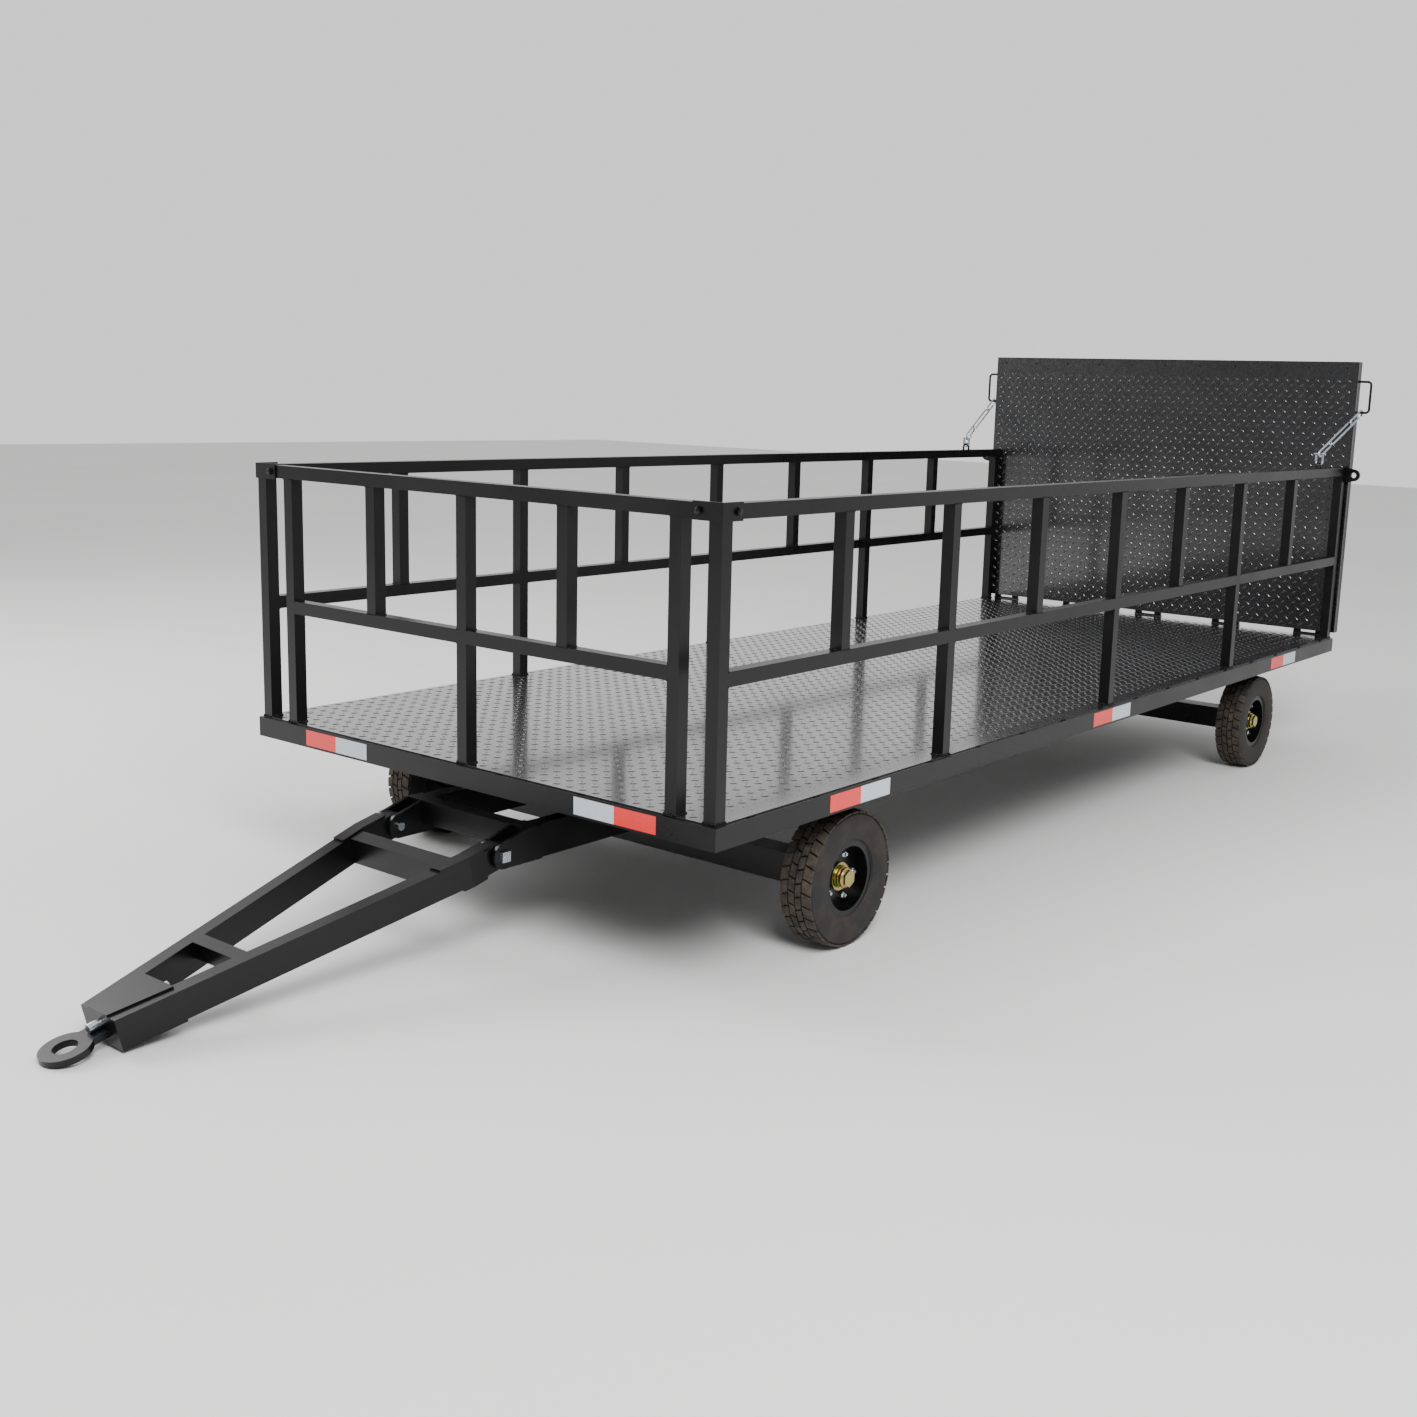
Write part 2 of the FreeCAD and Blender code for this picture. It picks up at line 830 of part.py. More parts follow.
def drawbar_gussets():
    half = bar_height / 2
    top = strip(sleeve_back, sleeve_front, half, half + nose_plate_thick)
    bottom = strip(sleeve_low_back, sleeve_low_front, -half - nose_plate_thick, -half)
    return [lowered(shape) for shape in both_sides([top, bottom])]


def inner_at(s):
    slope = (bar_outer - nose_half) / (nose_at - bar_bend)
    return outer_at(s) - (bar_outer - bar_inner) * math.hypot(1, slope)


def between(at, width, low, high):
    """A cross piece that fits between the two members."""
    back = at - width / 2
    front = at + width / 2
    points = [
        V(inner_at(back), -back, low),
        V(inner_at(front), -front, low),
        V(-inner_at(front), -front, low),
        V(-inner_at(back), -back, low),
    ]
    return prism(points, Z * (high - low))


def drawbar_cross_tubes():
    half = bar_height / 2
    back = cross_rear_at + cross_rear_width / 2
    rear = between(back, cross_rear_width, -half, half)
    front = between(cross_front_at, cross_front_width, half - cross_front_depth, half)
    return [lowered(rear), lowered(front)]


def nose_plates():
    half = bar_height / 2
    back = nose_at - nose_length
    top_points = [
        V(outer_at(back) - 26, -back, half),
        V(nose_half - 32, -nose_at, half),
        V(32 - nose_half, -nose_at, half),
        V(26 - outer_at(back), -back, half),
    ]
    low = -half - nose_plate_thick
    bottom_points = [
        V(outer_at(back), -back, low),
        V(nose_half, -nose_at, low),
        V(-nose_half, -nose_at, low),
        V(-outer_at(back), -back, low),
    ]
    top = prism(top_points, Z * nose_plate_thick)
    bottom = prism(bottom_points, Z * nose_plate_thick)
    return [lowered(top), lowered(bottom)]


def nose_block():
    """The block between the members' front ends, with the hole for the tow eye's bolt."""
    half = bar_height / 2
    block = between(nose_at - eye_block / 2, eye_block, -half, half)
    hole = bar(eye_bolt_r, V(0, -nose_at - 1, bolt_z), V(0, -nose_at + eye_block + 1, bolt_z))
    return [lowered(block.cut(hole))]


bolt_z = -eye_drop + eye_thick / 2 + eye_bolt_r


def tow_eye():
    low = -eye_drop - eye_thick / 2
    disc = Part.makeCylinder(eye_outer_r, eye_thick, V(0, -eye_at, low))
    neck = box(-eye_neck / 2, eye_neck / 2, -eye_at, -nose_at, low, low + eye_thick)
    hole = Part.makeCylinder(eye_hole_r, eye_thick + 2, V(0, -eye_at, low - 1))
    return [lowered(joined([disc, neck]).cut(hole))]


def tow_eye_bolt():
    rod = bar(eye_bolt_r, V(0, -eye_bolt_front, bolt_z), V(0, -eye_bolt_back, bolt_z))
    return [lowered(rod)]


# ------------------------------------------------------------------ write every node

save("side_frames", side_frames())
save("end_frames", end_frames())
save("main_rails", main_rails())
save("cross_members", cross_members())
save("deck_plate", deck_plate())
save("side_posts", side_posts())
save("side_balusters", side_balusters())
save("side_top_rails", side_top_rails())
save("side_mid_rails", side_mid_rails())
save("front_posts", front_posts())
save("front_top_rail", front_top_rail())
save("front_mid_rails", front_mid_rails())
save("front_balusters", front_balusters())
save("corner_brackets", corner_brackets())
save("rail_end_lugs", rail_end_lugs())
save("chain_eyes", chain_eyes())
save("chain_shackles", chain_shackles())
save("frame_hinges", frame_hinges())
save("turntable_upper_plate", turntable_upper())
save("turntable_upper_ring", turntable_upper_ring())
save("rear_axle_beam", axle_beam(deck_front + rear_axle_y))
save("rear_axle_stands", rear_axle_stands())
save("rear_spindles", spindles(deck_front + rear_axle_y))

save("turntable_lower_plate", turntable_lower())
save("turntable_lower_ring", turntable_lower_ring())
save("fork_arms", fork_arms())
save("fork_cross_tubes", fork_cross_tubes())
save("arm_pads", arm_pads())
save("front_axle_beam", axle_beam(steer_y))
save("front_spindles", spindles(steer_y))
save("drawbar_ears", drawbar_ears())
save("drawbar_pins", drawbar_pins())

save("drawbar_members", drawbar_members())
save("drawbar_gussets", drawbar_gussets())
save("drawbar_cross_tubes", drawbar_cross_tubes())
save("nose_plates", nose_plates())
save("nose_block", nose_block())
save("tow_eye", tow_eye())
save("tow_eye_bolt", tow_eye_bolt())

for end, axle in (("front", steer_y), ("rear", deck_front + rear_axle_y)):
    for hand, side in (("left", 1), ("right", -1)):
        save("tyre_" + end + "_" + hand, tyre(side, axle))
        save("rim_" + end + "_" + hand, rim(side, axle))
        save("hub_" + end + "_" + hand, hub(side, axle))

save("ramp_rails", ramp_rails())
save("ramp_uprights", ramp_upright_bars())
save("ramp_plate", ramp_plate())
save("ramp_handles", ramp_handles())
save("ramp_hinges", ramp_hinges())

save("chain_left", chain())
save("chain_right", [mirrored(piece) for piece in chain()])

print("deck front", round(deck_front, 3), "tilt", round(math.degrees(tilt), 4))
print("pins", round(pin_y, 3), pin_height, "steer", round(steer_y, 3), "hinge", round(hinge_y, 3), hinge_z)
print("rear axle", round(deck_front + rear_axle_y, 3), "wheel", wheel_x, wheel_r)
print("shackle pin", shackle_pin(), "hook", hook_point())
print("lug hole", lug_hole_centre(), "plate top", plate_top)
eye_mid = lowered(Part.Vertex(V(0, -eye_at, -eye_drop))).Point
print("tow eye", eye_mid, "ramp top", ramp_top, "ramp back", tube_back)
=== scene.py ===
import math
import random

import bmesh
import bpy
from mathutils import Euler, Matrix, Vector


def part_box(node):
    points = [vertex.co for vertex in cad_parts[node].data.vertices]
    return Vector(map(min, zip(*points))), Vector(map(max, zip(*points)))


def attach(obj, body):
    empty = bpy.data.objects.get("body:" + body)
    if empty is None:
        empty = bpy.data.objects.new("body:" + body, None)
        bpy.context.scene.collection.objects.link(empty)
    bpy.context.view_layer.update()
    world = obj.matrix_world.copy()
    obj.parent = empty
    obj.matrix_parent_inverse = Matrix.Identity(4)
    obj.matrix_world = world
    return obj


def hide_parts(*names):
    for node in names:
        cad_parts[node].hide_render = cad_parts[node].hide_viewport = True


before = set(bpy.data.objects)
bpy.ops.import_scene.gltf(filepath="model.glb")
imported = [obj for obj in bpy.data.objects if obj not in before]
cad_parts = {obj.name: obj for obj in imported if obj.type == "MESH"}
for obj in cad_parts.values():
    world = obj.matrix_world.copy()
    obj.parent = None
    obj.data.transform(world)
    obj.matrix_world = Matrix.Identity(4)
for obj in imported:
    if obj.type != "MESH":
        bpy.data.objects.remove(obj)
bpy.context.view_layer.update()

random.seed(7)
mm = 0.001
sides = (-1, 1)
hands = {1: "left", -1: "right"}


# ---------- colours and nodes

def hexColour(code):
    # sRGB hex to linear, with alpha 1
    parts = [int(code[i:i + 2], 16) / 255 for i in (1, 3, 5)]
    return tuple(c / 12.92 if c <= 0.04045 else ((c + 0.055) / 1.055) ** 2.4 for c in parts) + (1.0,)


def addNode(tree, kind, settings=None, links=None):
    # settings: attributes and socket values; links: socket name -> output socket
    node = tree.nodes.new(kind)
    for key, value in (settings or {}).items():
        if hasattr(node, key):
            setattr(node, key, value)
        else:
            node.inputs[key].default_value = value
    for key, output in (links or {}).items():
        tree.links.new(output, node.inputs[key])
    return node


def newMaterial(name, **sockets):
    material = bpy.data.materials.new(name)
    material.use_nodes = True
    tree = material.node_tree
    shader = tree.nodes["Principled BSDF"]
    for key, value in sockets.items():
        shader.inputs[key.replace("_", " ")].default_value = value
    place = addNode(tree, "ShaderNodeTexCoord").outputs["Object"]
    return material, tree, shader, place


def noise(tree, place, sizeMm, detail=3.0, roughness=0.5):
    settings = {"Scale": 1 / (sizeMm * mm), "Detail": detail, "Roughness": roughness}
    return addNode(tree, "ShaderNodeTexNoise", settings, {"Vector": place}).outputs["Fac"]


def ramp(tree, value, stops):
    node = addNode(tree, "ShaderNodeValToRGB", None, {"Fac": value})
    first, last = node.color_ramp.elements
    first.position, first.color = stops[0][0], stops[0][1]
    last.position, last.color = stops[-1][0], stops[-1][1]
    for position, colour in stops[1:-1]:
        node.color_ramp.elements.new(position).color = colour
    return node.outputs["Color"]


def grey(value):
    return (value, value, value, 1.0)


def bump(tree, shader, height, distanceMm, strength=1.0):
    settings = {"Distance": distanceMm * mm, "Strength": strength}
    node = addNode(tree, "ShaderNodeBump", settings, {"Height": height})
    tree.links.new(node.outputs["Normal"], shader.inputs["Normal"])


# ---------- finishes

def makeGlossBlackEnamel():
    # sprayed enamel on steel tube: deep black, wet gloss, slight orange peel and a film of dust
    look = {"peelMm": 5.0, "dustMm": 260.0, "paint": "#060607", "dusty": "#0f0f11"}
    material, tree, shader, place = newMaterial("glossBlackEnamel", IOR=1.45, Specular_IOR_Level=0.4)
    dust = noise(tree, place, look["dustMm"], 6.0, 0.6)
    colour = ramp(tree, dust, [(0.35, hexColour(look["paint"])), (0.75, hexColour(look["dusty"]))])
    tree.links.new(colour, shader.inputs["Base Color"])
    tree.links.new(ramp(tree, dust, [(0.3, grey(0.26)), (0.8, grey(0.42))]), shader.inputs["Roughness"])
    bump(tree, shader, noise(tree, place, look["peelMm"], 2.0), 0.08, 0.35)
    return material


def makeEnamelledChequer():
    # hot-rolled chequer plate under black enamel: rolled waviness, scuffed sheen, wear in patches
    look = {"waveMm": 180.0, "scuffMm": 14.0, "patchMm": 420.0, "paint": "#0d0d0f", "worn": "#26262a"}
    shine = {"IOR": 1.65, "Coat_Weight": 0.9, "Coat_Roughness": 0.1}
    material, tree, shader, place = newMaterial("enamelledChequerPlate", **shine)
    patch = noise(tree, place, look["patchMm"], 7.0, 0.62)
    scuff = noise(tree, place, look["scuffMm"], 5.0, 0.7)
    colour = ramp(tree, patch, [(0.38, hexColour(look["paint"])), (0.8, hexColour(look["worn"]))])
    tree.links.new(colour, shader.inputs["Base Color"])
    tree.links.new(ramp(tree, scuff, [(0.3, grey(0.16)), (0.75, grey(0.36))]), shader.inputs["Roughness"])
    bump(tree, shader, noise(tree, place, look["waveMm"], 2.0), 2.0, 0.5)
    return material


def makeTyreRubber():
    # moulded solid rubber: matt black, brown-grey road dust held in the tread
    look = {"grainMm": 2.5, "dustMm": 60.0, "rubber": "#141313", "dust": "#3d352c"}
    material, tree, shader, place = newMaterial("mouldedTyreRubber", IOR=1.5)
    dust = noise(tree, place, look["dustMm"], 8.0, 0.65)
    colour = ramp(tree, dust, [(0.42, hexColour(look["rubber"])), (0.8, hexColour(look["dust"]))])
    tree.links.new(colour, shader.inputs["Base Color"])
    tree.links.new(ramp(tree, dust, [(0.3, grey(0.62)), (0.8, grey(0.85))]), shader.inputs["Roughness"])
    bump(tree, shader, noise(tree, place, look["grainMm"], 4.0), 0.25, 0.6)
    return material


def makeTreadRubber():
    # the tread blocks' tops carry more of the dust than the walls
    look = {"grainMm": 3.0, "dustMm": 35.0, "rubber": "#1f1b18", "dust": "#5b5044"}
    material, tree, shader, place = newMaterial("dustyTreadRubber", IOR=1.5)
    dust = noise(tree, place, look["dustMm"], 8.0, 0.7)
    colour = ramp(tree, dust, [(0.35, hexColour(look["rubber"])), (0.78, hexColour(look["dust"]))])
    tree.links.new(colour, shader.inputs["Base Color"])
    shader.inputs["Roughness"].default_value = 0.8
    bump(tree, shader, noise(tree, place, look["grainMm"], 4.0), 0.3, 0.6)
    return material


def makeMetal(name, light, dark, grainMm, low, high):
    # plated or turned steel: grain in the colour and roughness, no clear coat
    material, tree, shader, place = newMaterial(name, Metallic=1.0)
    grain = noise(tree, place, grainMm, 5.0, 0.6)
    colour = ramp(tree, grain, [(0.3, hexColour(dark)), (0.7, hexColour(light))])
    tree.links.new(colour, shader.inputs["Base Color"])
    tree.links.new(ramp(tree, grain, [(0.3, grey(high)), (0.7, grey(low))]), shader.inputs["Roughness"])
    bump(tree, shader, grain, 0.05, 0.3)
    return material


def makeYellowZinc():
    # chromated zinc: gold with pink and green interference tints a few millimetres across
    look = {"tintMm": 22.0, "grainMm": 3.0}
    material, tree, shader, place = newMaterial("yellowChromateZinc", Metallic=1.0)
    tint = noise(tree, place, look["tintMm"], 3.0)
    stops = [(0.3, "#b8a262"), (0.45, "#9fae72"), (0.55, "#c9b06a"), (0.68, "#b98f78"), (0.8, "#8f9f82")]
    colour = ramp(tree, tint, [(at, hexColour(code)) for at, code in stops])
    tree.links.new(colour, shader.inputs["Base Color"])
    tree.links.new(ramp(tree, tint, [(0.3, grey(0.24)), (0.8, grey(0.38))]), shader.inputs["Roughness"])
    bump(tree, shader, noise(tree, place, look["grainMm"], 3.0), 0.05, 0.3)
    return material


def makeTape(name, light, dark):
    # prismatic reflective tape: a fine cell pattern, drawn at 4 mm so that it shows, under a clear film
    look = {"cellMm": 4.0}
    material, tree, shader, place = newMaterial(name, Roughness=0.35, Coat_Weight=0.4, Coat_Roughness=0.12)
    settings = {"Scale": 1 / (look["cellMm"] * mm), "feature": "DISTANCE_TO_EDGE"}
    cells = addNode(tree, "ShaderNodeTexVoronoi", settings, {"Vector": place}).outputs["Distance"]
    colour = ramp(tree, cells, [(0.0, hexColour(dark)), (0.12, hexColour(light))])
    tree.links.new(colour, shader.inputs["Base Color"])
    return material


enamel = makeGlossBlackEnamel()
chequer = makeEnamelledChequer()
rubber = makeTyreRubber()
tread = makeTreadRubber()
brightZinc = makeMetal("brightZincPlate", "#dfe6ec", "#a9b4bd", 6.0, 0.18, 0.34)
turnedSteel = makeMetal("turnedSteel", "#a6a6a8", "#6f6f72", 2.0, 0.25, 0.4)
weldMetal = makeMetal("paintedWeldBead", "#34343a", "#0e0e10", 4.0, 0.3, 0.45)
yellowZinc = makeYellowZinc()
tapeRed = makeTape("reflectiveTapeRed", "#ff2c2c", "#d81c1e")
tapeWhite = makeTape("reflectiveTapeWhite", "#d6dee8", "#b4bfcc")
print("finishes made")


# ---------- CAD nodes keep their shape and take a finish

special = {
    "deck_plate": chequer, "ramp_plate": chequer, "chain_left": brightZinc, "chain_right": brightZinc,
    "chain_shackles": brightZinc, "tow_eye_bolt": brightZinc, "front_spindles": turnedSteel,
    "rear_spindles": turnedSteel, "drawbar_pins": brightZinc,
}
for name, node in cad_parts.items():
    finish = special.get(name, enamel)
    if name.startswith("hub_"):
        finish = yellowZinc
    if name.startswith("tyre_"):
        finish = rubber
    node.data.materials.clear()
    node.data.materials.append(finish)
print("CAD nodes finished")


# ---------- bmesh helpers

def makePiece(bm, name, material, body, smoothDeg=None):
    bmesh.ops.recalc_face_normals(bm, faces=bm.faces)
    mesh = bpy.data.meshes.new(name)
    bm.to_mesh(mesh)
    bm.free()
    piece = bpy.data.objects.new(name, mesh)
    bpy.context.scene.collection.objects.link(piece)
    mesh.materials.append(material)
    if smoothDeg:
        mesh.shade_smooth()
        mesh.set_sharp_from_angle(angle=math.radians(smoothDeg))
    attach(piece, body)
    return piece


def addBlock(bm, low, high):
    middle = (Vector(low) + Vector(high)) / 2
    size = Vector(high) - Vector(low)
    bmesh.ops.create_cube(bm, size=1, matrix=Matrix.Translation(middle) @ Matrix.Diagonal((*size, 1)))


def aim(start, end):
    # places a Z-aligned shape of unit middle between two points
    way = Vector(end) - Vector(start)
    turn = way.to_track_quat("Z", "Y").to_matrix().to_4x4()
    return Matrix.Translation((Vector(start) + Vector(end)) / 2) @ turn, way.length


def addRod(bm, radius, start, end, segments=24, tip=None):
    place, length = aim(start, end)
    bmesh.ops.create_cone(bm, cap_ends=True, segments=segments, radius1=radius,
                          radius2=radius if tip is None else tip, depth=length, matrix=place)


hexHead = {"fullShare": 0.82, "acrossPerTip": 2.3}


def addHex(bm, across, start, end):
    # a chamfered hexagon: the full hexagon, then a short taper at its outer end
    way = Vector(end) - Vector(start)
    shoulder = Vector(start) + way * hexHead["fullShare"]
    addRod(bm, across / math.sqrt(3), start, shoulder, 6)
    addRod(bm, across / math.sqrt(3), shoulder, end, 6, across / hexHead["acrossPerTip"])


def shapeOf(build):
    # a small shape made once, as points and faces, to be stamped many times
    bm = bmesh.new()
    build(bm)
    bm.verts.index_update()
    points = [vert.co.copy() for vert in bm.verts]
    faces = [[vert.index for vert in face.verts] for face in bm.faces]
    bm.free()
    return points, faces


def stamp(bm, shape, place):
    verts = [bm.verts.new(place(point)) for point in shape[0]]
    for face in shape[1]:
        bm.faces.new([verts[index] for index in face])


def buildRipple(bm):
    bmesh.ops.create_uvsphere(bm, u_segments=6, v_segments=4, radius=1)


ripple = shapeOf(buildRipple)
rippleSpread = (0.42, 0.58)


def addBead(bm, start, end, widthMm=5.0, stepMm=3.6):
    # a weld bead: overlapping ripples laid in a row, a little uneven
    way = Vector(end) - Vector(start)
    count = max(2, round(way.length / (stepMm * mm)))
    for index in range(count + 1):
        at = Vector(start) + way * index / count
        size = widthMm * mm * random.uniform(*rippleSpread)
        stamp(bm, ripple, lambda point: at + point * size)


# ---------- chequer plate lugs

def makeLugs(name, body, low, high, normal, across, lugs):
    # one cell has two lugs at right angles, and two arrays lay it over the sheet
    pitch = lugs["pitchMm"] * mm
    bm = bmesh.new()
    for turnDeg, shift in ((45, 0.25), (-45, 0.75)):
        shape = Matrix.Diagonal((lugs["lengthMm"] * mm / 2, lugs["widthMm"] * mm / 2, 1, 1))
        spot = Matrix.Translation((shift * pitch, shift * pitch, lugs["heightMm"] * mm / 2))
        bmesh.ops.create_cone(bm, cap_ends=True, segments=8, radius1=1, radius2=lugs["crown"],
                              depth=lugs["heightMm"] * mm,
                              matrix=spot @ Matrix.Rotation(math.radians(turnDeg), 4, "Z") @ shape)
    buried = [face for face in bm.faces if face.calc_center_median().z < 1e-6]
    bmesh.ops.delete(bm, geom=buried, context="FACES")
    along = Vector(normal).cross(Vector(across))
    turn = Matrix((across, along, normal)).transposed().to_4x4()
    bmesh.ops.transform(bm, matrix=Matrix.Translation(low) @ turn, verts=bm.verts)
    piece = makePiece(bm, name, chequer, body)
    span = Vector(high) - Vector(low)
    for index, way in enumerate((Vector(across), along)):
        rows = piece.modifiers.new(f"rows{index}", "ARRAY")
        rows.use_relative_offset = False
        rows.use_constant_offset = True
        rows.constant_offset_displace = way * pitch
        rows.count = int(abs(span.dot(way)) / pitch)
    return piece


chequerLugs = {"pitchMm": 50.0, "lengthMm": 29.0, "widthMm": 8.5, "heightMm": 1.6, "crown": 0.45}
deckEdge = {"frontMm": 14.0, "sideMm": 12.0}
plateLow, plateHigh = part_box("deck_plate")
makeLugs("deckLugs", "root",
         (plateLow.x + deckEdge["sideMm"] * mm, plateLow.y + deckEdge["frontMm"] * mm, plateHigh.z),
         (plateHigh.x - deckEdge["sideMm"] * mm, plateHigh.y - deckEdge["frontMm"] * mm, plateHigh.z),
         (0, 0, 1), (1, 0, 0), chequerLugs)

rampEdge = {"topMm": 34.0, "sideMm": 12.0, "footMm": 10.0}
rampLow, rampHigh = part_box("ramp_plate")
makeLugs("rampLugs", "ramp",
         (rampLow.x + rampEdge["sideMm"] * mm, rampLow.y, rampLow.z + rampEdge["footMm"] * mm),
         (rampHigh.x - rampEdge["sideMm"] * mm, rampLow.y, rampHigh.z - rampEdge["topMm"] * mm),
         (0, -1, 0), (1, 0, 0), chequerLugs)
print("chequer lugs laid")


# ---------- ramp trim: plug welds under the top strip

plugWelds = {"count": 11, "belowTopMm": 29.0, "radiusMm": 5.0, "proudMm": 1.2, "insetMm": 55.0}
bm = bmesh.new()
for index in range(plugWelds["count"]):
    inset = plugWelds["insetMm"] * mm
    x = rampLow.x + inset + (rampHigh.x - rampLow.x - 2 * inset) * index / (plugWelds["count"] - 1)
    spot = Matrix.Translation((x, rampLow.y, rampHigh.z - plugWelds["belowTopMm"] * mm))
    flat = Matrix.Diagonal((1, plugWelds["proudMm"] / plugWelds["radiusMm"], 1, 1))
    bmesh.ops.create_uvsphere(bm, u_segments=12, v_segments=6, radius=plugWelds["radiusMm"] * mm,
                              matrix=spot @ flat)
makePiece(bm, "rampPlugWelds", weldMetal, "ramp", 60)
print("ramp trim made")


# ---------- reflective tape

tapes = {"tallMm": 50.0, "barMm": 150.0, "belowTopMm": 6.0, "thickMm": 0.6,
         "frontRedOuterMm": (767.0, 721.0), "sideFromFrontMm": (500.0, 2122.0, 3865.0)}
frameLow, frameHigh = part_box("side_frames")
tapeTop = frameHigh.z - tapes["belowTopMm"] * mm
tapeFoot = tapeTop - tapes["tallMm"] * mm
reds, whites = bmesh.new(), bmesh.new()
barLength = tapes["barMm"] * mm
thick = tapes["thickMm"] * mm
for side in sides:
    outer = tapes["frontRedOuterMm"][0 if side > 0 else 1] * mm
    for bm, start in ((reds, outer), (whites, outer - barLength)):
        ends = sorted((side * start, side * (start - barLength)))
        addBlock(bm, (ends[0], frameLow.y - thick, tapeFoot), (ends[1], frameLow.y, tapeTop))
    for fromFront in tapes["sideFromFrontMm"]:
        for bm, start in ((reds, fromFront * mm), (whites, fromFront * mm + barLength)):
            face = sorted((side * frameHigh.x, side * (frameHigh.x + thick)))
            y = frameLow.y + start
            addBlock(bm, (face[0], y, tapeFoot), (face[1], y + barLength, tapeTop))
makePiece(reds, "redTape", tapeRed, "root")
makePiece(whites, "whiteTape", tapeWhite, "root")
print("tape laid")


# ---------- weld beads

def solidBoxes(node):
    # the boxes of a node's separate solids, one for each loose part of its mesh
    bm = bmesh.new()
    bm.from_mesh(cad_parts[node].data)
    bmesh.ops.remove_doubles(bm, verts=bm.verts, dist=1e-5)
    waiting = set(bm.verts)
    boxes = []
    while waiting:
        group, pending = set(), [waiting.pop()]
        while pending:
            vert = pending.pop()
            group.add(vert)
            for near in (link.other_vert(vert) for link in vert.link_edges):
                if near in waiting:
                    waiting.discard(near)
                    pending.append(near)
        points = [vert.co for vert in group]
        low = Vector(min(point[axis] for point in points) for axis in range(3))
        high = Vector(max(point[axis] for point in points) for axis in range(3))
        boxes.append((low, high))
    bm.free()
    return boxes


def addSquareBead(bm, low, high, z, widthMm):
    corners = [(low.x, low.y, z), (high.x, low.y, z), (high.x, high.y, z), (low.x, high.y, z)]
    for start, end in zip(corners, corners[1:] + corners[:1]):
        addBead(bm, start, end, widthMm)


panelBeads = {"postFootMm": 8.0, "balusterFootMm": 5.0, "headMm": 4.5, "railMm": 4.5, "liftMm": 1.0}
welds = bmesh.new()
for node in ("side_posts", "front_posts"):
    for low, high in solidBoxes(node):
        addSquareBead(welds, low, high, low.z + panelBeads["liftMm"] * mm, panelBeads["postFootMm"])
        addSquareBead(welds, low, high, high.z, panelBeads["headMm"])
for node in ("side_balusters", "front_balusters"):
    for low, high in solidBoxes(node):
        addSquareBead(welds, low, high, low.z, panelBeads["balusterFootMm"])
        addSquareBead(welds, low, high, high.z, panelBeads["headMm"])
for node, axis in (("side_mid_rails", 1), ("front_mid_rails", 0)):
    for low, high in solidBoxes(node):
        for end in (low[axis], high[axis]):
            other = 1 - axis
            for z in (low.z, high.z):
                start, stop = Vector((0, 0, z)), Vector((0, 0, z))
                start[axis] = stop[axis] = end
                start[other], stop[other] = low[other], high[other]
                addBead(welds, start, stop, panelBeads["railMm"])
makePiece(welds, "panelWelds", weldMetal, "root", 80)

stitches = {"lengthMm": 26.0, "everyMm": 290.0, "widthMm": 6.0, "liftMm": 1.0}
bm = bmesh.new()
half = stitches["lengthMm"] * mm / 2
stitchZ = plateLow.z + stitches["liftMm"] * mm
for side in sides:
    x = side * plateHigh.x
    count = int((plateHigh.y - plateLow.y) / (stitches["everyMm"] * mm))
    for index in range(count):
        y = plateLow.y + (index + 0.5) * (plateHigh.y - plateLow.y) / count
        addBead(bm, (x, y - half, stitchZ), (x, y + half, stitchZ), stitches["widthMm"])
for y in (plateLow.y, plateHigh.y):
    count = int((plateHigh.x - plateLow.x) / (stitches["everyMm"] * mm))
    for index in range(count):
        x = plateLow.x + (index + 0.5) * (plateHigh.x - plateLow.x) / count
        addBead(bm, (x - half, y, stitchZ), (x + half, y, stitchZ), stitches["widthMm"])
makePiece(bm, "deckStitchWelds", weldMetal, "root", 80)
print("welds laid")


# ---------- bolts on the corner brackets

bracketBolts = {"acrossMm": 17.0, "headMm": 7.0, "fromEndMm": 22.0, "washerMm": 11.0, "washerThickMm": 2.0}
bm = bmesh.new()
for low, high in solidBoxes("corner_brackets"):
    side = 1 if high.x > 0 else -1
    outer = max(abs(low.x), abs(high.x))
    inner = min(abs(low.x), abs(high.x))
    z = (low.z + high.z) / 2
    front = Vector((side * (inner + bracketBolts["fromEndMm"] * mm), low.y, z))
    flank = Vector((side * outer, high.y - bracketBolts["fromEndMm"] * mm, z))
    for at, way in ((front, Vector((0, -1, 0))), (flank, Vector((side, 0, 0)))):
        seat = at + way * bracketBolts["washerThickMm"] * mm
        addRod(bm, bracketBolts["washerMm"] * mm, at, seat)
        addHex(bm, bracketBolts["acrossMm"] * mm, seat, seat + way * bracketBolts["headMm"] * mm)
makePiece(bm, "bracketBolts", enamel, "root", 40)
print("bracket bolts made")


# ---------- wheels

tyreShape = {"segments": 96, "rows": 32, "grooveMm": 8.0, "gapMm": 6.0, "shoulderMm": 45.0,
             "roundMm": 3.5,
             "bands": ((-54.0, -26.0, 9.0), (-21.0, -2.5, -6.0), (2.5, 21.0, 6.0), (26.0, 54.0, -9.0))}
wheelNuts = {"count": 5, "pitchRadiusMm": 66.0, "acrossMm": 19.0, "heightMm": 13.0, "studMm": 5.0,
             "studProudMm": 6.0, "discInMm": 52.0, "firstRad": 0.3}
hubNut = {"acrossMm": 46.0, "heightMm": 10.0, "collarMm": 34.0, "collarInMm": (22.0, 14.0)}


